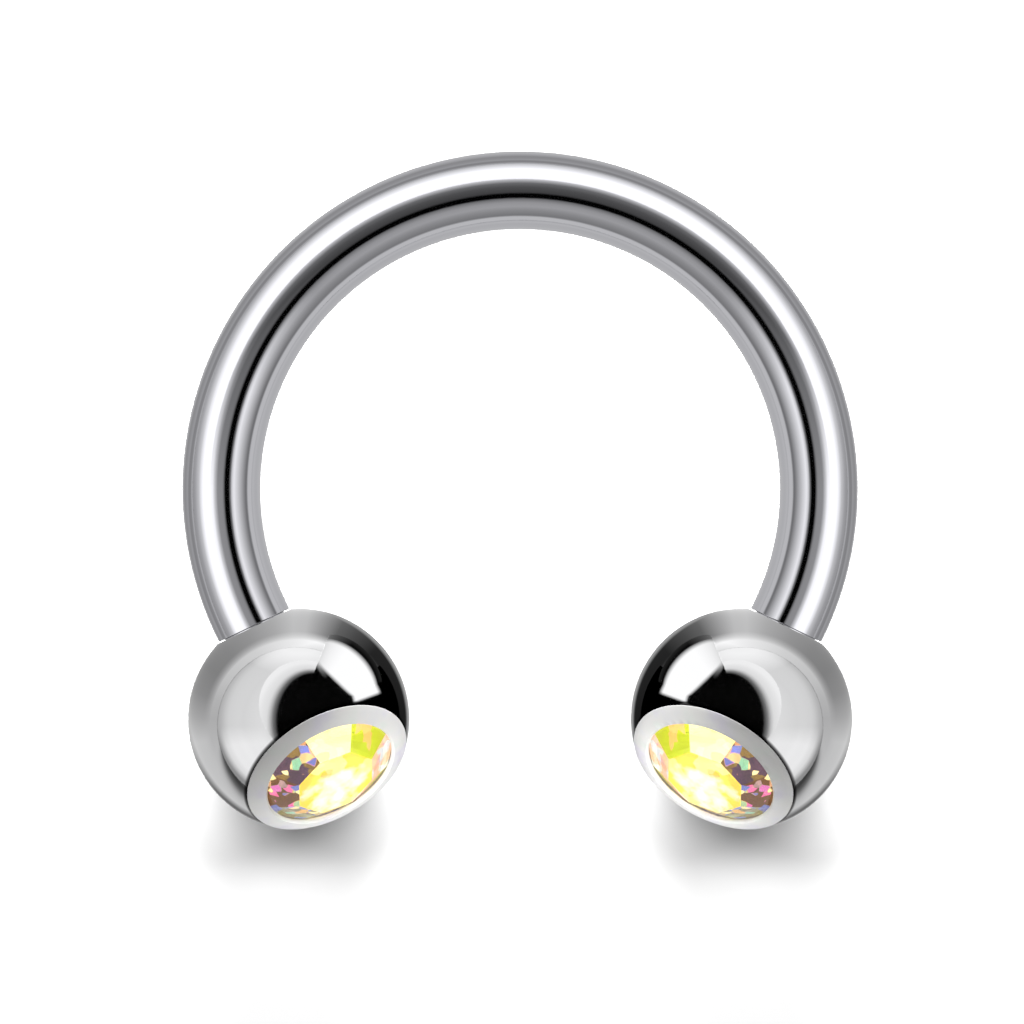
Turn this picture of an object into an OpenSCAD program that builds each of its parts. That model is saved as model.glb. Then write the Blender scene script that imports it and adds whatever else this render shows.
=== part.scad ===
// Horseshoe barbell with two stone-set balls, laid on its side on a floor.
// All sizes are in millimetres.
// X runs to the right, Y from the balls to the top of the arc, Z up from the floor.
// The ring is drawn upright first: its own plane is XY, with the opening towards -Y.
// The last step lays it down on both balls and the top of the arc.

/* [Wire] */
// Diameter of the wire, 16 gauge
wire_d = 1.2; // [1.1:0.05:1.8]
// Diameter of the round space inside the ring
inner_d = 8; // [6.5:0.5:14]
// Angle below the ring's middle at which each end of the arc turns straight
end_angle = 25.5; // [10:0.5:38]
// Length of the straight neck between the arc and its ball
neck_len = 0.13; // [0.05:0.01:1]
// Depth to which the neck is turned down below the arc's surface
neck_relief = 0.01; // [0.005:0.005:0.05]

/* [Posts] */
// Diameter of the plain post that stands in for the threaded end of the wire
post_d = 1; // [0.7:0.05:1.05]
// Length of the post
post_len = 1.25; // [0.6:0.05:1.3]
// Chamfer on the free end of the post
post_chamfer = 0.08; // [0.02:0.01:0.2]
// Clearance between the post and its bore, all round
post_gap = 0.02; // [0.01:0.005:0.05]
// Room left beyond the end of the post
bore_end_gap = 0.05; // [0.02:0.01:0.1]

/* [Balls] */
// Diameter of each ball
ball_d = 3.4; // [3:0.1:5]
// Gap between the wire's shoulder and the flat on the ball
seat_gap = 0.02; // [0.01:0.005:0.05]
// Width of the flat on the ball outside the wire
flat_margin = 0.03; // [0.01:0.01:0.1]
// Angle between the axis of the post and the axis of the stone
cup_lean = 37.8; // [0:0.1:50]
// Turn of the ball on its post: 0 faces the stone straight out, more turns it inwards
cup_turn = 9.8; // [-90:0.1:90]

/* [Cups] */
// Diameter of the outer edge of the rim, where it meets the ball
rim_d = 2.65; // [2.4:0.05:2.9]
// Diameter of the opening in the rim, through which the stone shows
mouth_d = 2.08; // [1.9:0.02:2.1]
// Rise of the rim from its outer edge to the opening
rim_rise = 0.14; // [0.05:0.01:0.2]
// Thickness of the rim's lip over the edge of the stone
lip_t = 0.06; // [0.03:0.01:0.12]
// Clearance between the stone and its cup
stone_gap = 0.015; // [0.01:0.005:0.04]

/* [Stones] */
// Diameter of the stone at its girdle
stone_d = 2.14; // [2.1:0.02:2.3]
// Diameter of the table across its corners
table_d = 1.28; // [0.8:0.02:1.7]
// Height of the crown, from its outer corners to the table
crown_h = 0.29; // [0.1:0.01:0.5]
// Height of the round girdle
girdle_h = 0.06; // [0.02:0.01:0.12]
// Drop from the corners of the facets to the edges of the round girdle, above and below it
facet_drop = 0.03; // [0.01:0.01:0.06]
// Depth of the pavilion, from the girdle to the culet
pavilion_h = 0.6; // [0.3:0.05:0.65]
// Diameter of the small flat at the tip of the pavilion
culet_d = 0.2; // [0.1:0.02:0.6]
// Number of crown facets, and of pavilion facets
facets = 8; // [8:1:12]
// Turn of the stone in its cup
stone_turn = 12.4; // [-22:0.1:22]

/* [Hidden] */
wire_r = wire_d / 2;
neck_r = wire_r - neck_relief;
ring_r = (inner_d + wire_d) / 2;
post_r = post_d / 2;
bore_r = post_r + post_gap;
ball_r = ball_d / 2;
flat_r = wire_r + flat_margin;
rim_r = rim_d / 2;
mouth_r = mouth_d / 2;
stone_r = stone_d / 2;
table_r = table_d / 2;
culet_r = culet_d / 2;
cup_r = stone_r + stone_gap;

// Distance from the ball's centre to its flat, along the post
flat_dist = sqrt(pow(ball_r, 2) - pow(flat_r, 2));
// Distance from the arc's end to the ball's centre, along the post
ball_reach = neck_len + seat_gap + flat_dist;
bore_depth = post_len - seat_gap + bore_end_gap;
// Length of the neck inside the arc: over it the arc curves away by half the relief
neck_root = sqrt(ring_r * neck_relief);

// Heights along the stone's axis, from the ball's centre
rim_z = sqrt(pow(ball_r, 2) - pow(rim_r, 2));
mouth_z = rim_z + rim_rise;
lip_z = mouth_z - lip_t;
rim_slope = rim_rise / (rim_r - mouth_r);
crown_slope = crown_h / (stone_r - table_r);
crown_z = lip_z - stone_gap - crown_slope * max(stone_r - mouth_r, 0);
table_z = crown_z + crown_h;
girdle_z = crown_z - facet_drop - girdle_h;
pavilion_z = girdle_z - facet_drop;
culet_z = pavilion_z - pavilion_h;

// How the ring lies: the balls are thicker than the wire, so its plane leans by lie_angle
ball_drop = ring_r * sin(end_angle) + ball_reach * cos(end_angle);
lie_angle = asin((ball_r - wire_r) / (ring_r + ball_drop));
ring_z = wire_r + ring_r * sin(lie_angle);
reach_back = ring_r * cos(lie_angle) + wire_r;
reach_front = ball_drop * cos(lie_angle) + ball_r;

// Thickness of the thin plates whose hull makes a stone
plate = 0.004;
// Outer size of the tool that cuts the rim, past the ball on every side
cut_r = 2 * ball_r;
girdle_sides = 4 * facets;
$fn = 96;

// Lays the upright ring down on the floor, with the middle of its box over the origin.
module laid() {
    translate([0, (reach_front - reach_back) / 2, ring_z]) rotate([-lie_angle, 0, 0]) children();
}

// Moves a piece to the left end of the arc: its +Z then runs along the post.
module at_left_end() {
    rotate([0, 0, end_angle]) translate([-ring_r, 0, 0]) rotate([90, 0, 0]) children();
}

// Moves a piece from the ball's centre to the left ball's place.
module at_left_ball() {
    at_left_end() translate([0, 0, ball_reach]) children();
}

// Turns a piece from the post's axis to the stone's axis.
module at_cup() {
    rotate([0, 0, -cup_turn]) rotate([-cup_lean, 0, 0]) children();
}

// One end of the wire: a neck that starts inside the arc, its shoulder and the post.
module wire_end() {
    rotate_extrude() polygon([
        [0, -neck_root],
        [neck_r, -neck_root],
        [neck_r, neck_len],
        [post_r, neck_len],
        [post_r, neck_len + post_len - post_chamfer],
        [post_r - post_chamfer, neck_len + post_len],
        [0, neck_len + post_len]
    ]);
}

// The space that the cup and its rim take out of the ball.
module cup_cut() {
    rotate_extrude() polygon([
        [0, culet_z - stone_gap],
        [culet_r + stone_gap, culet_z - stone_gap],
        [cup_r, pavilion_z - stone_gap],
        [cup_r, lip_z],
        [mouth_r, lip_z],
        [mouth_r, mouth_z],
        [cut_r, mouth_z - rim_slope * (cut_r - mouth_r)],
        [cut_r, cut_r],
        [0, cut_r]
    ]);
}

// A ball about its centre, with its post along +Z: flat and bore below, cup above.
module ball() {
    difference() {
        sphere(r = ball_r);
        translate([0, 0, -flat_dist - cut_r]) cylinder(r = ball_r, h = cut_r);
        translate([0, 0, -flat_dist - seat_gap]) cylinder(r = bore_r, h = seat_gap + bore_depth);
        at_cup() cup_cut();
    }
}

// A thin plate of the stone, as the corners of one row of facets.
module stone_plate(r, z, h, sides) {
    translate([0, 0, z]) cylinder(r = r, h = h, $fn = sides);
}

// A stone about the ball's centre, in its cup.
module stone() {
    at_cup() rotate([0, 0, stone_turn]) hull() {
        stone_plate(table_r, table_z - plate, plate, facets);
        stone_plate(stone_r, crown_z - plate, plate, facets);
        stone_plate(stone_r, girdle_z, girdle_h, girdle_sides);
        stone_plate(stone_r, pavilion_z, plate, facets);
        stone_plate(culet_r, culet_z, plate, facets);
    }
}

module ring_wire() {
    color("silver") laid() {
        rotate([0, 0, -end_angle]) rotate_extrude(angle = 180 + 2 * end_angle)
            translate([ring_r, 0]) circle(r = wire_r);
        at_left_end() wire_end();
        mirror([1, 0, 0]) at_left_end() wire_end();
    }
}

module left_ball() {
    color("lightgray") laid() at_left_ball() ball();
}

module right_ball() {
    color("lightgray") laid() mirror([1, 0, 0]) at_left_ball() ball();
}

module left_gem() {
    color("khaki") laid() at_left_ball() stone();
}

module right_gem() {
    color("khaki") laid() mirror([1, 0, 0]) at_left_ball() stone();
}

ring_wire();
left_ball();
right_ball();
left_gem();
right_gem();
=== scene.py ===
"""Looks of the horseshoe barbell: its polished wire, its two balls and their cut stones.

Pieces are modelled in millimetres about their own axes, as on a bench, and are brought to
metres and to their place on the floor when they are finished.
"""

import math

import bmesh
import bpy
from mathutils import Matrix, Vector


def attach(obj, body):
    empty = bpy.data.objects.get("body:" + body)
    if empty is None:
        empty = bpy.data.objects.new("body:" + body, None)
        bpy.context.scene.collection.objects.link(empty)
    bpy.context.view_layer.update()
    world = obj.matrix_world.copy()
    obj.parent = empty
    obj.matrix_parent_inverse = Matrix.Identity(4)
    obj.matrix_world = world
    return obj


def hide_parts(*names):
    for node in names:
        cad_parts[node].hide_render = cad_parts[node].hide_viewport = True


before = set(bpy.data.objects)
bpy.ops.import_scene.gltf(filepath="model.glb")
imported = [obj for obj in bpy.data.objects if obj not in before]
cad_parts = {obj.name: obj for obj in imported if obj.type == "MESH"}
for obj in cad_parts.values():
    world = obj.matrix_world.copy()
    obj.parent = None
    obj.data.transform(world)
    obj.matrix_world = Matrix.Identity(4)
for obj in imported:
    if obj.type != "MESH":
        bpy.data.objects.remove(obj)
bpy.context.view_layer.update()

MM = 0.001

# Wire, in millimetres
WIRE_R = 0.6
RING_R = 4.6
END_ANGLE = math.radians(25.5)
NECK_LEN = 0.13
POST_R = 0.5
POST_LEN = 1.25
POST_CHAMFER = 0.08

# Balls
BALL_R = 1.7
SEAT_GAP = 0.02
FLAT_R = WIRE_R + 0.03
BORE_R = POST_R + 0.02
BORE_DEPTH = POST_LEN + 0.03
COUNTERSINK = 0.04
CUP_LEAN = math.radians(37.8)
CUP_TURN = math.radians(9.8)

# Cups. The rim's profile is the share of its rise that each ring of it takes, from the outside.
RIM_R = 1.325
MOUTH_R = 1.04
RIM_STEP = 0.012
RIM_RISE = 0.14
RIM_PROFILE = (0.45, 0.33, 0.22)
LIP_T = 0.06
MOUTH_CHAMFER = 0.03

# Stones
FACETS = 8
GIRDLE_SIDES = 64
STONE_R = 1.07
STONE_GAP = 0.015
TABLE_R = 0.64
CROWN_H = 0.29
GIRDLE_H = 0.06
FACET_DROP = 0.03
PAVILION_H = 0.6
PAVILION_HOLLOW = 0.985
CULET_R = 0.1
STONE_TURN = math.radians(12.4)
SAME_FACET = math.radians(1)

# Distances from a ball's centre: to its flat, to its rim, and to the rows of the stone
FLAT_DIST = math.sqrt(BALL_R**2 - FLAT_R**2)
BALL_REACH = NECK_LEN + SEAT_GAP + FLAT_DIST
RIM_Z = math.sqrt(BALL_R**2 - RIM_R**2)
MOUTH_Z = RIM_Z + RIM_RISE
CROWN_Z = MOUTH_Z - LIP_T - STONE_GAP - CROWN_H * (STONE_R - MOUTH_R) / (STONE_R - TABLE_R)
TABLE_Z = CROWN_Z + CROWN_H
GIRDLE_Z = CROWN_Z - FACET_DROP - GIRDLE_H
PAVILION_Z = GIRDLE_Z - FACET_DROP
CULET_Z = PAVILION_Z - PAVILION_H

# How the ring lies: leaning on both balls and on the top of its arc
BALL_DROP = RING_R * math.sin(END_ANGLE) + BALL_REACH * math.cos(END_ANGLE)
LIE_ANGLE = math.asin((BALL_R - WIRE_R) / (RING_R + BALL_DROP))
RING_Z = WIRE_R + RING_R * math.sin(LIE_ANGLE)
RING_Y = (BALL_DROP * math.cos(LIE_ANGLE) + BALL_R - RING_R * math.cos(LIE_ANGLE) - WIRE_R) / 2

TO_METRES = Matrix.Scale(MM, 4)
LAID = Matrix.Translation((0, RING_Y, RING_Z)) @ Matrix.Rotation(-LIE_ANGLE, 4, "X")
TO_LEFT_END = Matrix.Rotation(END_ANGLE, 4, "Z") @ Matrix.Translation((-RING_R, 0, 0))
ONTO_POST = Matrix.Rotation(math.pi / 2, 4, "X") @ Matrix.Translation((0, 0, BALL_REACH))
TO_CUP = Matrix.Rotation(-CUP_TURN, 4, "Z") @ Matrix.Rotation(-CUP_LEAN, 4, "X")
CUP_FRAME = LAID @ TO_LEFT_END @ ONTO_POST @ TO_CUP
STONE_FRAME = CUP_FRAME @ Matrix.Rotation(STONE_TURN, 4, "Z")
UP_FROM_RING = (LAID.to_3x3() @ Vector((0, 0, 1))).normalized()

# How finely the round shapes are drawn, and how their edges are softened
WIRE_SIDES = 96
ARC_STEPS = 220
BALL_SEGMENTS = 192
BALL_RINGS = 96
SOFT_WIRE_EDGE = 0.012
SOFT_BALL_EDGE = 0.008
EDGE_SEGMENTS = 2
WIRE_EDGE_ANGLE = math.radians(40)
BALL_EDGE_ANGLE = math.radians(35)
SMOOTH_ANGLE = math.radians(40)
SAME_PLANE = 1e-4


# Modelling helpers


def deselect_all():
    bpy.ops.object.select_all(action="DESELECT")


def pick_only(obj):
    deselect_all()
    obj.select_set(True)
    bpy.context.view_layer.objects.active = obj


def named(name):
    """Names the object that an operator has just added."""
    obj = bpy.context.object
    obj.name = name
    obj.data.name = name
    return obj


def add_mesh(name, add_primitive, **settings):
    """Adds one of Blender's primitives by its operator, with nothing else selected."""
    deselect_all()
    add_primitive(**settings)
    return named(name)


def apply_transform():
    bpy.ops.object.transform_apply(location=True, rotation=True, scale=True)


def start_edit(obj):
    pick_only(obj)
    bpy.ops.object.mode_set(mode="EDIT")
    bpy.ops.mesh.select_mode(type="FACE")
    bpy.ops.mesh.select_all(action="SELECT")


def end_edit():
    bpy.ops.mesh.select_all(action="SELECT")
    bpy.ops.mesh.normals_make_consistent(inside=False)
    bpy.ops.object.mode_set(mode="OBJECT")


def select_vertices(obj, test):
    """Selects the vertices at the places for which test is true."""
    bpy.ops.mesh.select_mode(type="VERT")
    bpy.ops.mesh.select_all(action="DESELECT")
    mesh = bmesh.from_edit_mesh(obj.data)
    for vertex in mesh.verts:
        vertex.select_set(test(vertex.co))
    mesh.select_flush(True)
    bmesh.update_edit_mesh(obj.data)


def extrude(move):
    bpy.ops.mesh.extrude_region_move(TRANSFORM_OT_translate={"value": tuple(move)})


def scale_about(centre, factors):
    bpy.ops.transform.resize(value=factors, center_override=tuple(centre))


def cut_flat(place, outwards):
    """Cuts off what lies beyond a place, and leaves the flat selected."""
    bpy.ops.mesh.bisect(plane_co=place, plane_no=outwards, use_fill=True, clear_outer=True)


def put_in_place(obj, matrix):
    """Puts a finished piece where it belongs, with its place in its mesh."""
    pick_only(obj)
    obj.matrix_world = TO_METRES @ matrix
    apply_transform()


def mirrored(obj, name):
    """Copies a piece of the left end to the right end."""
    pick_only(obj)
    bpy.ops.object.duplicate(linked=False)
    copy = named(name)
    copy.scale = (-1, 1, 1)
    apply_transform()
    start_edit(copy)
    end_edit()
    return copy


def soften_edges(obj, width, angle):
    """Rounds a piece's edges by a hair, and keeps its broad faces true."""
    pick_only(obj)
    bevel = obj.modifiers.new("soft edges", "BEVEL")
    bevel.width = width
    bevel.segments = EDGE_SEGMENTS
    bevel.limit_method = "ANGLE"
    bevel.angle_limit = angle
    bpy.ops.object.modifier_apply(modifier=bevel.name)


def smooth(obj):
    pick_only(obj)
    bpy.ops.object.shade_smooth_by_angle(angle=SMOOTH_ANGLE)
    weighted = obj.modifiers.new("broad faces first", "WEIGHTED_NORMAL")
    weighted.keep_sharp = True
    bpy.ops.object.modifier_apply(modifier=weighted.name)


# Pieces


def finish_end(wire, side):
    """Draws out the neck and the plain post at one end of the wire: side is -1 left, 1 right."""
    centre = Vector((side * RING_R * math.cos(END_ANGLE), -RING_R * math.sin(END_ANGLE), 0))
    along = Vector((-side * math.sin(END_ANGLE), -math.cos(END_ANGLE), 0))

    def on_end(place):
        away = place - centre
        return abs(away.dot(along)) < SAME_PLANE and away.length < 2 * WIRE_R

    select_vertices(wire, on_end)
    extrude(along * NECK_LEN)
    shoulder = centre + along * NECK_LEN
    extrude((0, 0, 0))
    scale_about(shoulder, (POST_R / WIRE_R,) * 3)
    extrude(along * (POST_LEN - POST_CHAMFER))
    extrude(along * POST_CHAMFER)
    scale_about(shoulder + along * POST_LEN, ((POST_R - POST_CHAMFER) / POST_R,) * 3)
    bpy.ops.mesh.edge_face_add()


def bend_wire():
    """The round bar, spun round the ring's centre, with a post at each end."""
    start = Matrix.Rotation(-END_ANGLE, 4, "Z") @ Matrix.Translation((RING_R, 0, 0))
    wire = add_mesh(
        "polished_wire", bpy.ops.mesh.primitive_circle_add, vertices=WIRE_SIDES, radius=WIRE_R)
    wire.matrix_world = start @ Matrix.Rotation(math.pi / 2, 4, "X")
    apply_transform()
    start_edit(wire)
    bpy.ops.mesh.select_mode(type="VERT")
    bpy.ops.mesh.select_all(action="SELECT")
    bpy.ops.mesh.spin(
        steps=ARC_STEPS, angle=math.pi + 2 * END_ANGLE, center=(0, 0, 0), axis=(0, 0, -1))
    for side in (-1, 1):
        finish_end(wire, side)
    end_edit()
    soften_edges(wire, SOFT_WIRE_EDGE, WIRE_EDGE_ANGLE)
    smooth(wire)
    put_in_place(wire, LAID)
    return wire


def shape_rim():
    """Raises the rim round the stone's cup and sinks the cup, from the flat left by the cut."""
    band = (RIM_R - MOUTH_R - MOUTH_CHAMFER) / len(RIM_PROFILE)
    extrude((0, 0, RIM_STEP))
    for share in RIM_PROFILE:
        bpy.ops.mesh.inset(thickness=band, depth=(RIM_RISE - RIM_STEP) * share)
    bpy.ops.mesh.inset(thickness=MOUTH_CHAMFER, depth=-MOUTH_CHAMFER)
    extrude((0, 0, MOUTH_CHAMFER - LIP_T))
    extrude((0, 0, 0))
    cup_r = STONE_R + STONE_GAP
    scale_about((0, 0, MOUTH_Z - LIP_T), (cup_r / MOUTH_R, cup_r / MOUTH_R, 1))
    extrude((0, 0, PAVILION_Z - STONE_GAP - MOUTH_Z + LIP_T))
    extrude((0, 0, CULET_Z - PAVILION_Z))
    tip = (CULET_R + STONE_GAP) / cup_r
    scale_about((0, 0, CULET_Z - STONE_GAP), (tip, tip, 1))


def drill_bore(outwards):
    """Sinks the blind bore for the post into the flat left by the cut."""
    bpy.ops.mesh.inset(thickness=FLAT_R - BORE_R - COUNTERSINK)
    bpy.ops.mesh.inset(thickness=COUNTERSINK, depth=-COUNTERSINK)
    extrude(outwards * (COUNTERSINK - BORE_DEPTH))


def turn_ball():
    """A ball about its centre, with the axis of its cup along +Z."""
    to_wire = TO_CUP.to_3x3().transposed() @ Vector((0, 0, -1))
    ball = add_mesh(
        "left_steel_ball", bpy.ops.mesh.primitive_uv_sphere_add,
        segments=BALL_SEGMENTS, ring_count=BALL_RINGS, radius=BALL_R)
    start_edit(ball)
    cut_flat((0, 0, RIM_Z), (0, 0, 1))
    shape_rim()
    bpy.ops.mesh.select_all(action="SELECT")
    cut_flat(to_wire * FLAT_DIST, to_wire)
    drill_bore(to_wire)
    end_edit()
    soften_edges(ball, SOFT_BALL_EDGE, BALL_EDGE_ANGLE)
    smooth(ball)
    return ball


def cut_stone():
    """A stone about the ball's centre: rows of corners, drawn together into flat facets."""
    middle_r = PAVILION_HOLLOW * (STONE_R + CULET_R) / 2
    rows = (
        (STONE_R, CROWN_Z, FACETS, 0),
        (STONE_R, GIRDLE_Z + GIRDLE_H, GIRDLE_SIDES, 0),
        (STONE_R, GIRDLE_Z, GIRDLE_SIDES, 0),
        (STONE_R, PAVILION_Z, FACETS, 0),
        (middle_r, (PAVILION_Z + CULET_Z) / 2, FACETS, math.pi / FACETS),
        (CULET_R, CULET_Z, FACETS, 0),
    )
    stone = add_mesh(
        "left_cut_stone", bpy.ops.mesh.primitive_circle_add,
        vertices=FACETS, radius=TABLE_R, location=(0, 0, TABLE_Z))
    apply_transform()
    start_edit(stone)
    bpy.ops.mesh.select_mode(type="VERT")
    for radius, height, sides, turn in rows:
        bpy.ops.mesh.primitive_circle_add(
            vertices=sides, radius=radius, location=(0, 0, height), rotation=(0, 0, turn))
    bpy.ops.mesh.select_all(action="SELECT")
    bpy.ops.mesh.convex_hull()
    bpy.ops.mesh.select_all(action="SELECT")
    bpy.ops.mesh.dissolve_limited(angle_limit=SAME_FACET)
    end_edit()
    return stone


# Node helpers. A value can be a number, a colour, a vector or a link from another node.


def new_material(name):
    material = bpy.data.materials.new(name)
    material.use_nodes = True
    material.node_tree.nodes.clear()
    return material, material.node_tree


def is_link(value):
    return isinstance(value, bpy.types.NodeSocket)


def node(tree, kind, inputs=None, **settings):
    """Adds a node, with its settings and the values or links of its inputs."""
    made = tree.nodes.new(kind)
    for name, value in settings.items():
        setattr(made, name, value)
    for name, value in (inputs or {}).items():
        if is_link(value):
            tree.links.new(value, made.inputs[name])
        else:
            made.inputs[name].default_value = value
    return made


def maths(tree, operation, *values):
    made = node(tree, "ShaderNodeMath", dict(enumerate(values)), operation=operation)
    return made.outputs["Value"]


def vectors(tree, operation, *values):
    """A vector or colour worked out from others, part by part."""
    made = node(tree, "ShaderNodeVectorMath", dict(enumerate(values)), operation=operation)
    return made.outputs["Vector"]


def measure(tree, operation, *values):
    """A length, a distance or a share along a direction."""
    made = node(tree, "ShaderNodeVectorMath", dict(enumerate(values)), operation=operation)
    return made.outputs["Value"]


def split(tree, vector):
    return node(tree, "ShaderNodeSeparateXYZ", {"Vector": vector}).outputs


def join(tree, **axes):
    return node(tree, "ShaderNodeCombineXYZ", axes).outputs["Vector"]


def step(tree, value, first, last):
    """From 0 at first to 1 at last."""
    made = node(tree, "ShaderNodeMapRange", {"Value": value, "From Min": first, "From Max": last})
    return made.outputs["Result"]


def noise(tree, vector, scale, detail, output="Fac"):
    made = node(tree, "ShaderNodeTexNoise", {"Vector": vector, "Scale": scale, "Detail": detail})
    return made.outputs[output]


def ramp(tree, share, stops, interpolation="LINEAR"):
    """A colour ramp over a share, from (place, colour) stops."""
    made = node(tree, "ShaderNodeValToRGB", {"Fac": share})
    made.color_ramp.interpolation = interpolation
    elements = made.color_ramp.elements
    while len(elements) < len(stops):
        elements.new(1)
    for element, (position, colour) in zip(elements, stops):
        element.position = position
        element.color = (*colour, 1)
    return made.outputs["Color"]


def grey(value):
    return (value, value, value)


def opaque(colour):
    """A colour's value with its alpha. A link stays as it is."""
    return colour if is_link(colour) else (*colour, 1)


def blend(tree, share, first, second):
    """Mixes two colours: all first at 0, all second at 1."""
    made = node(tree, "ShaderNodeMix", {"Factor": share}, data_type="RGBA")
    for name, colour in (("A", opaque(first)), ("B", opaque(second))):
        socket = [one for one in made.inputs if one.name == name and one.type == "RGBA"][0]
        if is_link(colour):
            tree.links.new(colour, socket)
        else:
            socket.default_value = colour
    return [one for one in made.outputs if one.type == "RGBA"][0]


def mix_shaders(tree, share, first, second):
    """One shader at 0, the other at 1."""
    made = node(tree, "ShaderNodeMixShader", {"Fac": share})
    tree.links.new(first, made.inputs[1])
    tree.links.new(second, made.inputs[2])
    return made.outputs["Shader"]


def finish_material(tree, shader):
    node(tree, "ShaderNodeOutputMaterial", {"Surface": shader})


def own_place(tree):
    return node(tree, "ShaderNodeTexCoord").outputs["Object"]


def either_end(tree):
    """A point's own place, folded over to the left end, so that both ends share one finish."""
    axes = split(tree, own_place(tree))
    left = maths(tree, "MULTIPLY", maths(tree, "ABSOLUTE", axes["X"]), -1)
    return join(tree, X=left, Y=axes["Y"], Z=axes["Z"])


def in_frame(tree, vector, matrix, unit=MM):
    """Turns and moves places in the given unit into a piece's own frame, in millimetres."""
    made = node(tree, "ShaderNodeMapping", {
        "Vector": vector,
        "Location": matrix.to_translation() * unit,
        "Rotation": matrix.to_euler(),
        "Scale": (unit, unit, unit),
    }, vector_type="TEXTURE")
    return made.outputs["Vector"]


def from_axis(tree, place):
    """A place's distance from the Z axis of its frame."""
    return measure(tree, "LENGTH", vectors(tree, "MULTIPLY", place, (1, 1, 0)))


def new_group(name, inputs, outputs):
    """A node group: inputs as (name, kind, value), outputs as (name, kind)."""
    group = bpy.data.node_groups.new(name, "ShaderNodeTree")
    for socket_name, kind, value in inputs:
        socket = group.interface.new_socket(name=socket_name, in_out="INPUT", socket_type=kind)
        socket.default_value = value
    for socket_name, kind in outputs:
        group.interface.new_socket(name=socket_name, in_out="OUTPUT", socket_type=kind)
    given = group.nodes.new("NodeGroupInput").outputs
    return group, given, group.nodes.new("NodeGroupOutput")


# Materials

WIRE_COLOUR = (0.665, 0.665, 0.7, 1)
BALL_COLOUR = (0.57, 0.57, 0.575)
BUMP_DEPTH = 1e-6

# Painted shade in the seam at the rim's foot: its start and its darkest place up the ball, and the
# same two outwards, so that the cup stays bright
SEAM_START_Z = RIM_Z - 0.055
SEAM_FULL_Z = RIM_Z - 0.012
SEAM_START_R = MOUTH_R + 0.1
SEAM_FULL_R = MOUTH_R + 0.15

# Across the rim, in the cup's frame: the way from the wire's side to the other, and its reach, for
# the rim's painted shade
ACROSS_RIM = (0.5, -0.86, 0)
RIM_REACH = 1.3

# How far the patches of the stones' coat are bent, and how soft the edges of its sparks are
WARP = (0.35, 0.35, 0.35)
SPARK_EDGE = 0.04

# The hues of the sparks in the stones' coat, by their share of the ramp
SPARK_HUES = (
    (0.2, (0.04, 0.07, 0.5)),
    (0.35, (0.5, 0.04, 0.38)),
    (0.47, (0.08, 0.4, 0.3)),
    (0.57, (0.6, 0.3, 0.05)),
    (0.68, (0.22, 0.01, 0.05)),
    (0.8, (0.9, 0.8, 0.35)),
)

# The crown's facets, counted from the stone's own +X: main hue, second hue, the second hue's share
# of the patches, and the share of sparks. The hues are partly the coat's own colours and partly
# painted reflection: the near-black facets stand for the dark that they mirror
CROWN = (
    ((0.36, 0.52, 0.01), (0.80, 0.42, 0.10), grey(0.35), grey(0.08)),
    ((0.98, 1.00, 0.45), (1.00, 0.98, 0.36), grey(0.30), grey(0.00)),
    ((0.008, 0.002, 0.012), (0.06, 0.03, 0.002), grey(0.40), grey(0.42)),
    ((0.03, 0.01, 0.004), (0.60, 0.05, 0.35), grey(0.25), grey(0.40)),
    ((0.08, 0.09, 0.04), (0.06, 0.14, 0.60), grey(0.30), grey(0.35)),
    ((1.00, 0.75, 0.06), (1.00, 0.95, 0.55), grey(0.30), grey(0.05)),
    ((0.95, 0.36, 0.18), (0.60, 0.65, 0.03), grey(0.40), grey(0.05)),
    ((1.00, 0.55, 0.40), (0.65, 0.85, 1.00), grey(0.40), grey(0.05)),
)
MAIN, SECOND, SPREAD, SPARKS = range(4)
CROWN_PATCHES = 5.5

# The table: its two yellows, how far down it counts as table, and the painted highlight in its
# middle, which clouds make ragged
TABLE_YELLOW = (1.0, 0.57, 0.02)
TABLE_PALE = (1.0, 0.74, 0.18)
TABLE_SKIN = 0.008
HIGHLIGHT_WHITE = (1.0, 0.92, 0.88)
HIGHLIGHT_CENTRE = (-0.03, -0.12, TABLE_Z)
HIGHLIGHT_EDGE = 1.12
HIGHLIGHT_CORE = 0.72
CLOUD_SCALE = 3.4
CLOUD_WEIGHT = 1.3

# The foil on the stones' back: where it starts, under the girdle's edge, and its two hues
FOIL_TOP = CROWN_Z - FACET_DROP - 0.01
FOIL_WARM = (1.0, 0.93, 0.72)
FOIL_COOL = (1.0, 0.88, 0.9)


def polish_marks():
    """Faint buffing lines and finger smudges: a steel's roughness and the height of its lines."""
    group, given, out = new_group("polish_marks", (
        ("Vector", "NodeSocketVector", (0, 0, 0)),
        ("Gloss", "NodeSocketFloat", 0.04),
        ("Smudge", "NodeSocketFloat", 0.03),
    ), (("Roughness", "NodeSocketFloat"), ("Height", "NodeSocketFloat")))
    smudges = step(group, noise(group, given["Vector"], scale=1.1, detail=5), 0.45, 0.75)
    dulled = maths(group, "MULTIPLY", smudges, given["Smudge"])
    roughness = maths(group, "ADD", dulled, given["Gloss"])
    group.links.new(roughness, out.inputs["Roughness"])
    lines = noise(group, given["Vector"], scale=40, detail=3)
    group.links.new(lines, out.inputs["Height"])
    return group


def steel(tree, place, marks, colour, gloss, smudge, relief, metallic=1):
    """A steel surface with polish marks, which run the way that its place changes least."""
    worn = node(tree, "ShaderNodeGroup", {
        "Vector": place, "Gloss": gloss, "Smudge": smudge,
    }, node_tree=marks)
    bump = node(tree, "ShaderNodeBump", {
        "Strength": relief, "Distance": BUMP_DEPTH, "Height": worn.outputs["Height"],
    })
    surface = node(tree, "ShaderNodeBsdfPrincipled", {
        "Base Color": colour,
        "Metallic": metallic,
        "Roughness": worn.outputs["Roughness"],
        "Normal": bump.outputs["Normal"],
    })
    finish_material(tree, surface.outputs["BSDF"])


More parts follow.
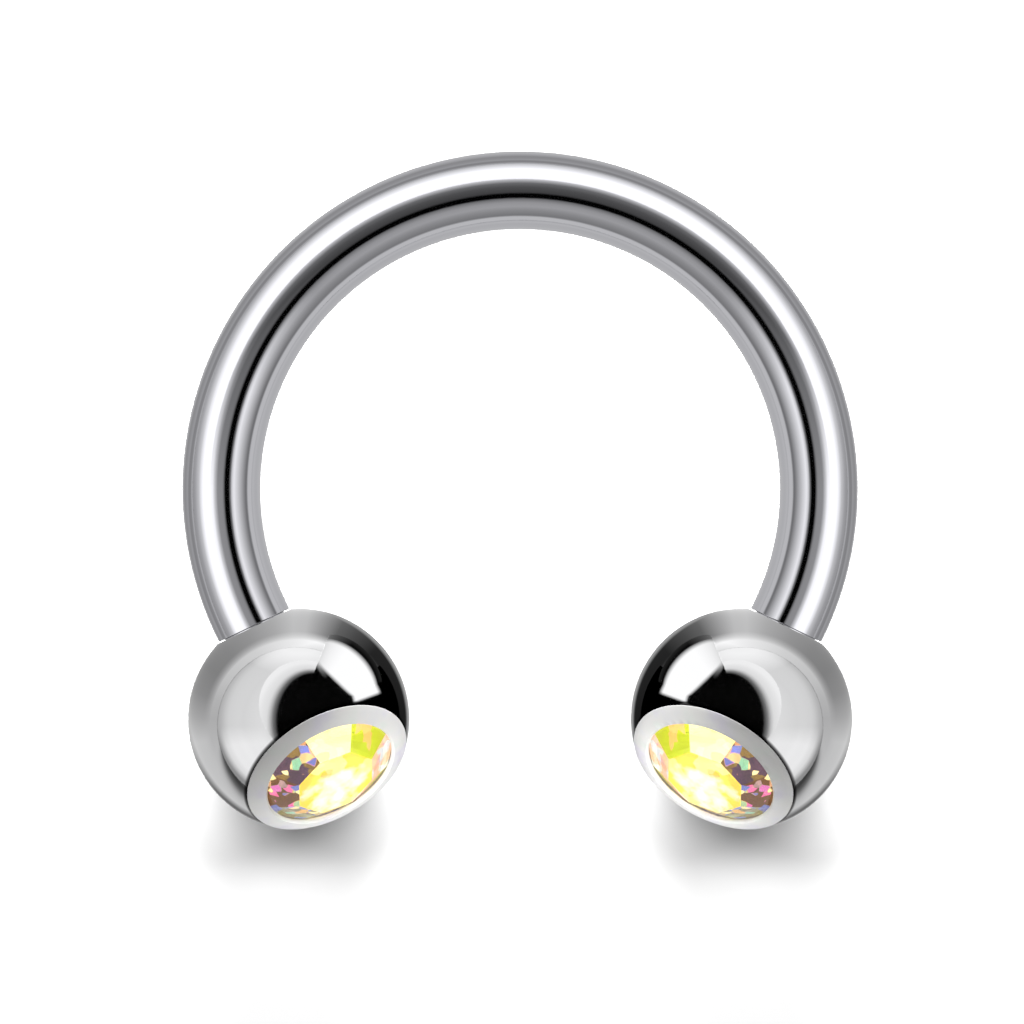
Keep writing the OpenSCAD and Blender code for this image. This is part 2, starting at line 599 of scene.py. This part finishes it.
def wire_steel(marks):
    """Polished steel, with its buffing lines along the bend."""
    material, tree = new_material("polished_wire_steel")
    place = in_frame(tree, own_place(tree), LAID)
    axes = split(tree, place)
    round_ring = maths(tree, "ARCTAN2", axes["Y"], axes["X"])
    along = join(tree, X=from_axis(tree, place), Y=round_ring, Z=axes["Z"])
    steel(tree, along, marks, WIRE_COLOUR, gloss=0.045, smudge=0.03, relief=0.15)
    return material


def ball_steel(marks):
    """Polished steel, darkened by painted shade in the seam round the rim's foot."""
    material, tree = new_material("polished_ball_steel")
    place = in_frame(tree, either_end(tree), CUP_FRAME)
    # Painted shade: the base colour darkens in the seam at the rim's foot
    seam = step(tree, split(tree, place)["Z"], SEAM_START_Z, SEAM_FULL_Z)
    outside = step(tree, from_axis(tree, place), SEAM_START_R, SEAM_FULL_R)
    colour = ramp(tree, maths(tree, "MULTIPLY", seam, outside), (
        (0.0, BALL_COLOUR), (0.6, grey(0.1)), (1.0, grey(0.015)),
    ))
    steel(tree, place, marks, colour, gloss=0.04, smudge=0.03, relief=0.1)
    return material


def rim_steel(marks):
    """Satin steel, turned in fine rings round the stone, and darker towards the wire by painted
    shade.
    """
    material, tree = new_material("satin_rim_steel")
    place = in_frame(tree, either_end(tree), CUP_FRAME)
    turned = join(tree, X=from_axis(tree, place), Y=split(tree, place)["Z"])
    # Painted reflection: soft pastel tints in random patches, for the coloured light that the satin
    # mirrors
    pastel_reflection = ramp(tree, noise(tree, place, scale=2.2, detail=3), (
        (0.3, (0.93, 0.90, 1.0)), (0.45, grey(0.98)), (0.55, (1.0, 0.99, 0.97)),
        (0.7, (0.95, 1.0, 0.95)),
    ))
    # Painted shade: the rim is darker on the wire's side and lighter on the other
    across = measure(tree, "DOT_PRODUCT", place, ACROSS_RIM)
    tone = ramp(tree, step(tree, across, -RIM_REACH, RIM_REACH), (
        (0.0, grey(0.15)), (0.5, grey(0.58)), (1.0, grey(0.96)),
    ))
    colour = vectors(tree, "MULTIPLY", tone, pastel_reflection)
    steel(tree, turned, marks, colour, gloss=0.38, smudge=0.1, relief=0.6, metallic=0.3)
    return material


def shimmer():
    """The coated stone's colours: broken patches of two hues, with small sparks of every hue."""
    group, given, out = new_group("shimmer", (
        ("Vector", "NodeSocketVector", (0, 0, 0)),
        ("Main", "NodeSocketColor", (1, 1, 1, 1)),
        ("Second", "NodeSocketColor", (1, 1, 1, 1)),
        ("Patches", "NodeSocketFloat", 2.5),
        ("Spread", "NodeSocketFloat", 0.5),
        ("Sparks", "NodeSocketFloat", 0.1),
    ), (("Color", "NodeSocketColor"),))
    warp = noise(group, given["Vector"], scale=1.7, detail=2, output="Color")
    bent = vectors(group, "MULTIPLY", warp, WARP)
    moved = vectors(group, "ADD", bent, given["Vector"])
    patches = node(group, "ShaderNodeTexVoronoi", {"Vector": moved, "Scale": given["Patches"]})
    patch = split(group, patches.outputs["Color"])
    is_second = maths(group, "LESS_THAN", patch["X"], given["Spread"])
    pair = blend(group, is_second, given["Main"], given["Second"])
    flecks = node(group, "ShaderNodeTexVoronoi", {
        "Vector": moved, "Scale": 6.5, "Smoothness": 0.2,
    }, feature="SMOOTH_F1")
    fleck = split(group, flecks.outputs["Color"])
    over = maths(group, "SUBTRACT", fleck["Z"], given["Sparks"])
    is_lit = step(group, over, SPARK_EDGE, -SPARK_EDGE)
    hue = ramp(group, fleck["Y"], SPARK_HUES)
    group.links.new(blend(group, is_lit, pair, hue), out.inputs["Color"])
    return group


def shimmering(tree, group, place, main, second, patches, spread, sparks):
    """The shimmer's colour at a place, from two hues, the patches' fineness and both shares."""
    made = node(tree, "ShaderNodeGroup", {
        "Vector": place,
        "Main": opaque(main),
        "Second": opaque(second),
        "Patches": patches,
        "Spread": spread,
        "Sparks": sparks,
    }, node_tree=group)
    return made.outputs["Color"]


def clear_crystal(group):
    """Coated crystal: yellow through the table, and other hues through each crown facet."""
    material, tree = new_material("coated_crystal")
    place = in_frame(tree, either_end(tree), STONE_FRAME)
    axes = split(tree, place)
    turn = maths(tree, "ARCTAN2", axes["Y"], axes["X"])
    share = maths(tree, "FLOORED_MODULO", maths(tree, "DIVIDE", turn, 2 * math.pi), 1)

    def by_facet(which):
        stops = [(index / FACETS, facet[which]) for index, facet in enumerate(CROWN)]
        return ramp(tree, share, stops, "CONSTANT")

    crown = shimmering(
        tree, group, place, by_facet(MAIN), by_facet(SECOND), patches=CROWN_PATCHES,
        spread=by_facet(SPREAD), sparks=by_facet(SPARKS))
    yellow = shimmering(
        tree, group, place, TABLE_YELLOW, TABLE_PALE, patches=3.0, spread=0.3, sparks=0.0)
    # Painted highlight: the table turns white round a ragged middle
    off = measure(tree, "DISTANCE", place, HIGHLIGHT_CENTRE)
    clouds = noise(tree, place, scale=CLOUD_SCALE, detail=2)
    ragged = maths(tree, "MULTIPLY_ADD", clouds, CLOUD_WEIGHT, off)
    table = blend(tree, step(tree, ragged, HIGHLIGHT_EDGE, HIGHLIGHT_CORE), yellow, HIGHLIGHT_WHITE)
    on_table = maths(tree, "GREATER_THAN", axes["Z"], TABLE_Z - TABLE_SKIN)
    coat = blend(tree, on_table, crown, table)
    seen_first = node(tree, "ShaderNodeLightPath").outputs["Is Camera Ray"]
    # Painted light: the stone also glows with its coat's colours, though it is no lamp
    surface = node(tree, "ShaderNodeBsdfPrincipled", {
        "Base Color": blend(tree, seen_first, (1, 1, 1), coat),
        "Roughness": 0.0,
        "IOR": 1.56,
        "Transmission Weight": 0.85,
        "Emission Color": coat,
        "Emission Strength": 0.2,
    })
    finish_material(tree, surface.outputs["BSDF"])
    return material


def stone_foil(group):
    """The mirror coat on the pavilion, broken into warm and cool patches."""
    material, tree = new_material("stone_foil")
    place = in_frame(tree, either_end(tree), STONE_FRAME)
    coat = shimmering(
        tree, group, place, FOIL_WARM, FOIL_COOL, patches=3.5, spread=0.3, sparks=0.0)
    # Painted light: the foil also glows with its own hues, though it is no lamp
    surface = node(tree, "ShaderNodeBsdfPrincipled", {
        "Base Color": coat,
        "Metallic": 1,
        "Roughness": 0.25,
        "Emission Color": coat,
        "Emission Strength": 0.25,
    })
    finish_material(tree, surface.outputs["BSDF"])
    return material


# Studio: floor, reflectors, lights and camera. The wire and the balls are lit each in its own way,
# so each has reflectors of its own: a veil over the floor, a column up the ring's axis, a hood over
# the ring and a dome of sky. Their places and sizes are in the ring's frame, in millimetres. LAMP
# is the highest light level that a reflector can have.

LAMP = 2.0
COLUMN_R = 2.0
COLUMN_FOOT = -0.1
HOOD_Z = 5.7
HOOD_R = 7.6
HOOD_PATCH_CENTRE = (0, -3.5, 0)
HOOD_PATCH_SIZE = (5.5, 6.9, 1)
VEIL_GAP = 0.005
WIRE_VEIL_Z = 0.004
BALL_VEIL_Z = 0.008
FLOOR_VEIL_R = 290
WIRE_SKY_R = 300
BALL_SKY_R = 320
DISC_SIDES = 128
COLUMN_SIDES = 96
SKY_SEGMENTS = 64
SKY_RINGS = 32

# The card between the balls: where it starts and ends along Y and along Z
CARD_NEAR = -1.3
CARD_FAR = -4.8
CARD_FOOT = -1.1
CARD_TOP = 3.7

# Light levels that the wire mirrors: over the distance from the ring's axis for the floor and the
# hood, over the height for the column, and over the angle from the axis in degrees for the sky
WIRE_FLOOR = (
    (0, 0.66), (2, 0.6), (5.3, 0.62), (5.8, 0.58), (6.5, 0.36), (7.3, 0.4), (8.2, 0.46),
    (9.8, 0.32), (12, 0.34), (16, 0.36), (22, 0.55),
)
WIRE_COLUMN_TO_SIDES = (
    (COLUMN_FOOT, 0.7), (0.45, 0.7), (0.7, 0.24), (0.86, 0.24), (1.5, 0.54), (2.3, 0.87),
    (3.3, 1.2), (4.0, 0.9), (4.8, 0.22), (HOOD_Z, 0.02),
)
WIRE_COLUMN_TO_TOP = (
    (COLUMN_FOOT, 0.7), (0.45, 0.7), (0.7, 0.27), (0.86, 0.28), (1.5, 0.36), (2.3, 0.48),
    (3.3, 0.43), (5.0, 0.2), (HOOD_Z, 0.02),
)
WIRE_HOOD_TO_SIDES = (
    (0, 0), (3.2, 0), (3.8, 0.3), (4.1, 0.36), (5.3, 0.38), (6.2, 0.9), (6.8, 1.4), (HOOD_R, 1.5),
)
WIRE_HOOD_TO_TOP = (
    (0, 0), (3.2, 0), (3.7, 0.07), (5.1, 0.11), (6.2, 0.2), (6.9, 0.5), (HOOD_R, 0.85),
)
WIRE_SKY_TO_SIDES = (
    (0, 0), (22, 0), (28, 0.35), (53, 0.35), (60, 0.1), (66, 0.0), (180, 0.0),
)
WIRE_SKY_TO_TOP = (
    (0, 0), (28, 0), (36, 0.35), (53, 0.4), (66, 0.62), (81, 0.28), (95, 0.15), (180, 0.0),
)

# Light levels that the balls mirror. The floor's are over the direction from the ball, in degrees,
# near the ball and far from it.
BALL_FLOOR_NEAR = (
    (-180, 0.02), (-150, 0.05), (-125, 0.4), (-100, 0.8), (-50, 0.92), (-14, 0.9), (0, 0.62),
    (13, 0.43), (28, 0.37), (43, 0.4), (58, 0.5), (74, 0.68), (86, 0.9), (94, 0.86), (106, 0.46),
    (114, 0.2), (124, 0.11), (138, 0.03), (180, 0.02),
)
BALL_FLOOR_FAR = (
    (-180, 0.1), (-100, 0.9), (-50, 1.0), (-24, 0.85), (0, 0.72), (13, 0.78), (28, 0.92),
    (43, 1.0), (58, 1.1), (74, 1.3), (90, 1.5), (106, 1.75), (120, 1.75), (138, 0.3), (180, 0.1),
)
BALL_WINDOW = (
    (COLUMN_FOOT, 0.03), (0.35, 0.0), (0.68, 1.75), (2.42, 1.75), (2.7, 0.0),
)
BALL_WINDOW_BACK = (
    (COLUMN_FOOT, 0.3), (0.35, 0.35), (0.75, 1.15), (2.7, 1.15), (3.1, 0.0),
)
BALL_HOOD = (
    (0, 0), (0.92, 0), (1.0, 0.3), (1.07, 0.9), (1.13, 1.25), (1.25, 1.35), (1.4, 1.5),
)
BALL_SKY_TO_SIDES = (
    (0, 0), (56, 0), (61, 0.1), (67, 0.38), (75, 0.5), (80, 0.48), (85, 0.36), (90, 0.28),
    (180, 0.28),
)
BALL_SKY_TO_TOP = (
    (0, 0), (50, 0), (58, 0.35), (61, 0.5), (67, 0.8), (75, 0.98), (82, 1.08), (90, 1.1),
    (180, 0.3),
)
BALL_SKY_TO_FRONT = (
    (0, 0), (30, 0), (40, 0.2), (55, 0.26), (61, 0.4), (67, 0.66), (75, 0.84), (83, 0.78),
    (88, 0.35), (91, 0.05), (180, 0.05),
)
CARD_UP = ((CARD_FOOT, 0), (0.35, 0), (0.68, 1.75), (2.4, 1.75), (2.7, 0), (CARD_TOP, 0))

# Shares of the light that stay: along the card, from before the dark line across the balls' floor
# to beyond it, and over the distance from the middle of the painted shadow before each ball
CARD_ALONG = ((CARD_FAR, 0), (-2.5, 0), (-2.35, 1), (CARD_NEAR, 1))
FRONT_LINE = (
    (0.58, 1), (0.65, 0.95), (0.72, 0.84), (0.8, 0.62), (0.88, 0.42), (0.95, 0.28), (1.05, 0.18),
    (1.3, 0.1), (1.6, 0.07), (2.4, 0.15),
)
SHADOW_SPOT = ((0, 0.15), (0.8, 0.22), (1.6, 0.65), (2.2, 1))

# The balls' floor, folded over to the right: the ball's place, the painted shadow's, the end of the
# near levels and the start of the far ones, the line's place, slope and sector, and the levels at
# the ball's foot
RIGHT_BALL = (3.41, -3.54, 0)
SHADOW_CENTRE = (4.7, -5.4, 0)
NEAR_END = 7.2
FAR_START = 15
LINE_Y = -9.3
LINE_SLOPE = -0.45
LINE_SECTOR = (-0.69, -0.55)
FOOT_LIGHT = ((2.3, 0.42), (2.8, 0.0))

# Over a place's Y: where levels change from those to the sides to those to the top, from the
# window to what melts into the sky, and from the sky's to those of its front
COLUMN_CHANGE = (0.7, 1.4)
WINDOW_CHANGE = (-1.1, 0.6)
HOOD_CHANGE = (0, 3)
WIRE_SKY_CHANGE = (0, 0.8)
BALL_SKY_CHANGE = (0.75, 0.96)
FRONT_SKY_CHANGE = (-0.1, -0.36)

# The plain surround: what the metal mirrors of it, over the angle from the ring's axis in degrees,
# and its strength for each other kind of ray
SURROUND = (
    (0, 0.5), (25, 1.1), (34, 1.25), (55, 1.15), (61, 1.05), (67, 0.76), (81, 0.48), (90, 0.42),
    (180, 0.42),
)
SURROUND_FOR = (("Is Transmission Ray", 1.3), ("Is Diffuse Ray", 0.04), ("Is Camera Ray", 1.0))

# Floor: its width in metres, how much light its paper gives back, and its glow for the stones
FLOOR_W = 2
PAPER = 0.9
FLOOR_FOR_STONES = 1.3

# Camera: the picture's centre from the ring's centre, its width and the lens, in millimetres, and
# the range that it sees, in camera distances
PICTURE_X = -0.125
PICTURE_Y = -0.354
PICTURE_W = 15.77
LENS = 150
SENSOR = 36
NEAREST_SEEN = 0.05
FARTHEST_SEEN = 50

# Lights: their distance in millimetres, and their elevation, side, half width and half height as
# seen from the part, in degrees. The last number is the level that each adds to the floor.
LIGHT_DISTANCE = 52
BACK_LIGHTS = (
    ("left_strip", 64, -22, 18, 8, 0.58),
    ("right_strip", 64, 22, 18, 8, 0.58),
    ("low_back", 16, 0, 12, 12, 0.9),
)
RIM_FILL = ("rim_fill", 120, 0, 10, 10, 0.75)


def shares_over(tree, value, stops, top=1):
    """Shares over a length or an angle, from (value, share) stops."""
    first = stops[0][0]
    last = stops[-1][0]
    spread = [((at - first) / (last - first), grey(level / top)) for at, level in stops]
    return ramp(tree, step(tree, value, first, last), spread)


def levels_over(tree, value, stops):
    """Light levels over a length or an angle, as shares of the light that glow gives."""
    return shares_over(tree, value, stops, LAMP)


def glow(tree, levels, is_veil):
    """Light of the given levels: a veil adds it to what is behind, and a screen hides that."""
    light = node(tree, "ShaderNodeEmission", {"Color": levels, "Strength": LAMP})
    shader = light.outputs["Emission"]
    if is_veil:
        clear = node(tree, "ShaderNodeBsdfTransparent").outputs["BSDF"]
        shader = node(tree, "ShaderNodeAddShader", {0: clear, 1: shader}).outputs["Shader"]
    finish_material(tree, shader)


def shine_on(obj, material, pieces):
    """Keeps a reflector out of all but the reflections in metal, and shows it to some pieces."""
    material.cycles.emission_sampling = "NONE"
    obj.data.materials.append(material)
    obj.visible_camera = False
    obj.visible_diffuse = False
    obj.visible_transmission = False
    obj.visible_volume_scatter = False
    obj.visible_shadow = False
    lit = bpy.data.collections.new(obj.name + "_lights")
    for piece in pieces:
        lit.objects.link(piece)
    obj.light_linking.receiver_collection = lit


def into_studio(reflector):
    """Puts a reflector that has just been made in the ring's frame into that frame."""
    apply_transform()
    reflector.matrix_world = TO_METRES @ LAID


def lay_floor():
    """Pale paper: dark to the metal, which sees the veils over it, and bright to the stones."""
    floor = add_mesh("floor", bpy.ops.mesh.primitive_plane_add, size=FLOOR_W)
    material, tree = new_material("pale_floor")
    paper = node(tree, "ShaderNodeBsdfPrincipled", {
        "Base Color": (PAPER, PAPER, PAPER, 1), "Roughness": 0.8, "Specular IOR Level": 0.2,
    })
    rays = node(tree, "ShaderNodeLightPath").outputs
    through = rays["Is Transmission Ray"]
    light = node(tree, "ShaderNodeEmission", {
        "Color": (1, 1, 1, 1), "Strength": maths(tree, "MULTIPLY", through, FLOOR_FOR_STONES),
    })
    mirrored_or_through = maths(tree, "MAXIMUM", rays["Is Glossy Ray"], through)
    finish_material(tree, mix_shaders(
        tree, mirrored_or_through, paper.outputs["BSDF"], light.outputs["Emission"]))
    floor.data.materials.append(material)


def floor_veil(name, height):
    """A veil just above the floor, inside the sky, with its places in the ring's frame."""
    veil = add_mesh(
        name, bpy.ops.mesh.primitive_circle_add,
        vertices=DISC_SIDES, radius=FLOOR_VEIL_R, fill_type="NGON", location=(0, 0, height))
    apply_transform()
    veil.matrix_world = TO_METRES
    material, tree = new_material(name + "_glow")
    return veil, material, tree, in_frame(tree, own_place(tree), LAID, 1)


def light_floor_for_wire(pieces):
    veil, material, tree, place = floor_veil("wire_floor", WIRE_VEIL_Z)
    glow(tree, levels_over(tree, from_axis(tree, place), WIRE_FLOOR), True)
    shine_on(veil, material, pieces)


def light_floor_for_balls(pieces):
    """Tones round each ball, with a dark line across the front and a painted shadow before each."""
    veil, material, tree, place = floor_veil("ball_floor", BALL_VEIL_Z)
    axes = split(tree, place)
    back = axes["Y"]
    aside = maths(tree, "ABSOLUTE", axes["X"])
    folded = join(tree, X=aside, Y=back)
    from_ball = vectors(tree, "SUBTRACT", folded, RIGHT_BALL)
    off = measure(tree, "LENGTH", from_ball)
    ways = split(tree, from_ball)
    direction = maths(tree, "DEGREES", maths(tree, "ARCTAN2", ways["Y"], ways["X"]))
    near = levels_over(tree, direction, BALL_FLOOR_NEAR)
    far = levels_over(tree, direction, BALL_FLOOR_FAR)
    level = blend(tree, step(tree, off, NEAR_END, FAR_START), near, far)
    reach = maths(tree, "MULTIPLY_ADD", aside, LINE_SLOPE, LINE_Y)
    line = shares_over(tree, maths(tree, "DIVIDE", back, reach), FRONT_LINE)
    beyond = step(tree, maths(tree, "DIVIDE", aside, back), *LINE_SECTOR)
    level = vectors(tree, "MULTIPLY", level, blend(tree, beyond, line, (1, 1, 1)))
    # Painted shadow: the balls' floor darkens round a spot before each ball
    spot = shares_over(tree, measure(tree, "DISTANCE", folded, SHADOW_CENTRE), SHADOW_SPOT)
    level = vectors(tree, "MULTIPLY", level, spot)
    foot = levels_over(tree, off, FOOT_LIGHT)
    glow(tree, vectors(tree, "MAXIMUM", level, foot), True)
    shine_on(veil, material, pieces)


def column(name, radius):
    height = HOOD_Z - COLUMN_FOOT
    made = add_mesh(
        name, bpy.ops.mesh.primitive_cylinder_add,
        vertices=COLUMN_SIDES, radius=radius, depth=height, end_fill_type="NOTHING",
        location=(0, 0, COLUMN_FOOT + height / 2))
    into_studio(made)
    bpy.ops.object.shade_smooth()
    material, tree = new_material(name + "_glow")
    return made, material, tree, split(tree, own_place(tree))


def light_column_for_wire(pieces):
    """Grey bands up the column, brighter to the wire's sides than to its top."""
    made, material, tree, axes = column("wire_column", COLUMN_R)
    to_sides = levels_over(tree, axes["Z"], WIRE_COLUMN_TO_SIDES)
    to_top = levels_over(tree, axes["Z"], WIRE_COLUMN_TO_TOP)
    glow(tree, blend(tree, step(tree, axes["Y"], *COLUMN_CHANGE), to_sides, to_top), False)
    shine_on(made, material, pieces)


def light_column_for_balls(pieces):
    """A white window round the column, which melts into the sky where its outline shows."""
    made, material, tree, axes = column("ball_column", COLUMN_R + VEIL_GAP)
    window = levels_over(tree, axes["Z"], BALL_WINDOW)
    to_back = levels_over(tree, axes["Z"], BALL_WINDOW_BACK)
    glow(tree, blend(tree, step(tree, axes["Y"], *WINDOW_CHANGE), window, to_back), True)
    shine_on(made, material, pieces)


def hood(name, height):
    made = add_mesh(
        name, bpy.ops.mesh.primitive_circle_add,
        vertices=DISC_SIDES, radius=HOOD_R, fill_type="NGON", location=(0, 0, height))
    into_studio(made)
    material, tree = new_material(name + "_glow")
    return made, material, tree, own_place(tree)


def light_hood_for_wire(pieces):
    """The camera's hood over the ring: a black middle, a grey band, and a soft white edge."""
    made, material, tree, place = hood("wire_hood", HOOD_Z)
    out = from_axis(tree, place)
    to_sides = levels_over(tree, out, WIRE_HOOD_TO_SIDES)
    to_top = levels_over(tree, out, WIRE_HOOD_TO_TOP)
    back = split(tree, place)["Y"]
    glow(tree, blend(tree, step(tree, back, *HOOD_CHANGE), to_sides, to_top), False)
    shine_on(made, material, pieces)


def light_hood_for_balls(pieces):
    """The hood's underside, black over the ring and both balls, and bright beyond."""
    made, material, tree, place = hood("ball_hood", HOOD_Z - VEIL_GAP)
    patch = node(tree, "ShaderNodeMapping", {
        "Vector": place, "Location": HOOD_PATCH_CENTRE, "Scale": HOOD_PATCH_SIZE,
    }, vector_type="TEXTURE")
    out = from_axis(tree, patch.outputs["Vector"])
    glow(tree, levels_over(tree, out, BALL_HOOD), True)
    shine_on(made, material, pieces)


def stand_card(pieces):
    """A card between the balls: its white window ends the crescents on their inner sides."""
    centre = (0, (CARD_NEAR + CARD_FAR) / 2, (CARD_FOOT + CARD_TOP) / 2)
    card = add_mesh(
        "card", bpy.ops.mesh.primitive_plane_add,
        size=1, location=centre, rotation=(0, math.pi / 2, 0))
    card.scale = (CARD_TOP - CARD_FOOT, CARD_NEAR - CARD_FAR, 1)
    into_studio(card)
    material, tree = new_material("card_glow")
    axes = split(tree, own_place(tree))
    up = levels_over(tree, axes["Z"], CARD_UP)
    along = shares_over(tree, axes["Y"], CARD_ALONG)
    glow(tree, vectors(tree, "MULTIPLY", up, along), False)
    shine_on(card, material, pieces)


def sky_veil(name, radius):
    """A dome far outside, with the angle of its places from the axis, and how far back they lie."""
    dome = add_mesh(
        name, bpy.ops.mesh.primitive_uv_sphere_add,
        segments=SKY_SEGMENTS, ring_count=SKY_RINGS, radius=radius)
    into_studio(dome)
    bpy.ops.object.shade_smooth()
    material, tree = new_material(name + "_glow")
    axes = split(tree, vectors(tree, "NORMALIZE", own_place(tree)))
    angle = maths(tree, "DEGREES", maths(tree, "ARCCOSINE", axes["Z"]))
    return dome, material, tree, angle, axes["Y"]


def light_sky_for_wire(pieces):
    dome, material, tree, angle, back = sky_veil("wire_sky", WIRE_SKY_R)
    to_sides = levels_over(tree, angle, WIRE_SKY_TO_SIDES)
    to_top = levels_over(tree, angle, WIRE_SKY_TO_TOP)
    glow(tree, blend(tree, step(tree, back, *WIRE_SKY_CHANGE), to_sides, to_top), True)
    shine_on(dome, material, pieces)


def light_sky_for_balls(pieces):
    dome, material, tree, angle, back = sky_veil("ball_sky", BALL_SKY_R)
    to_sides = levels_over(tree, angle, BALL_SKY_TO_SIDES)
    to_top = levels_over(tree, angle, BALL_SKY_TO_TOP)
    to_front = levels_over(tree, angle, BALL_SKY_TO_FRONT)
    levels = blend(tree, step(tree, back, *BALL_SKY_CHANGE), to_sides, to_top)
    glow(tree, blend(tree, step(tree, back, *FRONT_SKY_CHANGE), levels, to_front), True)
    shine_on(dome, material, pieces)


def light_world():
    """The plain surround: one for the metal, and one for each other kind of ray."""
    world = bpy.data.worlds.new("studio")
    bpy.context.scene.world = world
    world.use_nodes = True
    tree = world.node_tree
    tree.nodes.clear()
    direction = node(tree, "ShaderNodeTexCoord").outputs["Generated"]
    along = measure(tree, "DOT_PRODUCT", direction, UP_FROM_RING)
    angle = maths(tree, "DEGREES", maths(tree, "ARCCOSINE", along))
    rays = node(tree, "ShaderNodeLightPath").outputs
    shader = node(tree, "ShaderNodeBackground", {
        "Color": levels_over(tree, angle, SURROUND), "Strength": LAMP,
    }).outputs["Background"]
    for ray, strength in SURROUND_FOR:
        plain = node(tree, "ShaderNodeBackground", {"Color": (1, 1, 1, 1), "Strength": strength})
        shader = mix_shaders(tree, rays[ray], shader, plain.outputs["Background"])
    node(tree, "ShaderNodeOutputWorld", {"Surface": shader})


def set_camera():
    distance = PICTURE_W * LENS / SENSOR
    data = bpy.data.cameras.new("camera")
    data.lens = LENS
    data.sensor_width = SENSOR
    data.clip_start = distance * MM * NEAREST_SEEN
    data.clip_end = distance * MM * FARTHEST_SEEN
    camera = bpy.data.objects.new("camera", data)
    bpy.context.scene.collection.objects.link(camera)
    view = LAID @ Matrix.Translation((PICTURE_X, PICTURE_Y, distance))
    turn = view.to_quaternion().to_matrix().to_4x4()
    camera.matrix_world = Matrix.Translation(view.to_translation() * MM) @ turn
    bpy.context.scene.camera = camera


def collect(name, pieces):
    made = bpy.data.collections.new(name)
    for piece in pieces:
        made.objects.link(piece)
    return made


def add_light(casters, name, elevation, side, half_width, half_height, level):
    """A soft oval light, aimed at the part. Only the casters throw shadows in it."""
    tip = Matrix.Rotation(math.radians(elevation - 90), 3, "X")
    turn = tip @ Matrix.Rotation(math.radians(side), 3, "Y")
    direction = turn @ Vector((0, 0, 1))
    distance = LIGHT_DISTANCE * MM
    data = bpy.data.lights.new(name, "AREA")
    data.shape = "ELLIPSE"
    data.size = 2 * distance * math.tan(math.radians(half_width))
    data.size_y = 2 * distance * math.tan(math.radians(half_height))
    data.energy = level * (math.pi * distance)**2 / (PAPER * direction.z)
    light = bpy.data.objects.new(name, data)
    bpy.context.scene.collection.objects.link(light)
    light.location = direction * distance
    light.rotation_mode = "QUATERNION"
    light.rotation_quaternion = turn.to_quaternion()
    light.visible_glossy = False
    light.visible_transmission = False
    light.light_linking.blocker_collection = casters
    return light


def add_lights(pieces, balls):
    """The lights behind, and a fill for the balls' rims. Only the given pieces cast shadows."""
    casters = collect("shadow_casters", pieces)
    for light in BACK_LIGHTS:
        add_light(casters, *light)
    fill = add_light(casters, *RIM_FILL)
    fill.light_linking.receiver_collection = collect("filled", balls)


marks = polish_marks()
polished_wire = wire_steel(marks)
polished_ball = ball_steel(marks)
satin_rim = rim_steel(marks)
patches = shimmer()
crystal = clear_crystal(patches)
foil = stone_foil(patches)

wire = bend_wire()
wire.data.materials.append(polished_wire)
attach(wire, "wire")
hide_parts("ring_wire")

left_ball = turn_ball()
left_ball.data.materials.append(polished_ball)
left_ball.data.materials.append(satin_rim)
for face in left_ball.data.polygons:
    face.material_index = int(face.center.z > RIM_Z + RIM_STEP / 2)
put_in_place(left_ball, CUP_FRAME)
right_ball = mirrored(left_ball, "right_steel_ball")

left_stone = cut_stone()
left_stone.data.materials.append(crystal)
left_stone.data.materials.append(foil)
for face in left_stone.data.polygons:
    face.material_index = int(face.center.z < FOIL_TOP)
put_in_place(left_stone, STONE_FRAME)
right_stone = mirrored(left_stone, "right_cut_stone")

for side, ball, stone in (("left", left_ball, left_stone), ("right", right_ball, right_stone)):
    ball_names = (ball, side + "_ball", "ball_steel")
    stone_names = (stone, side + "_gem", "crystal")
    for piece, node_name, slot in (ball_names, stone_names):
        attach(piece, side + "_end")
        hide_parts(node_name)

wire.visible_glossy = False
ends = (left_ball, right_ball, left_stone, right_stone)
lay_floor()
light_floor_for_wire((wire,))
light_column_for_wire((wire,))
light_hood_for_wire((wire,))
light_sky_for_wire((wire,))
light_floor_for_balls(ends)
light_column_for_balls(ends)
light_hood_for_balls(ends)
light_sky_for_balls(ends)
stand_card(ends)
light_world()
add_lights(ends, (left_ball, right_ball))
set_camera()
bpy.context.scene.view_settings.view_transform = "Standard"
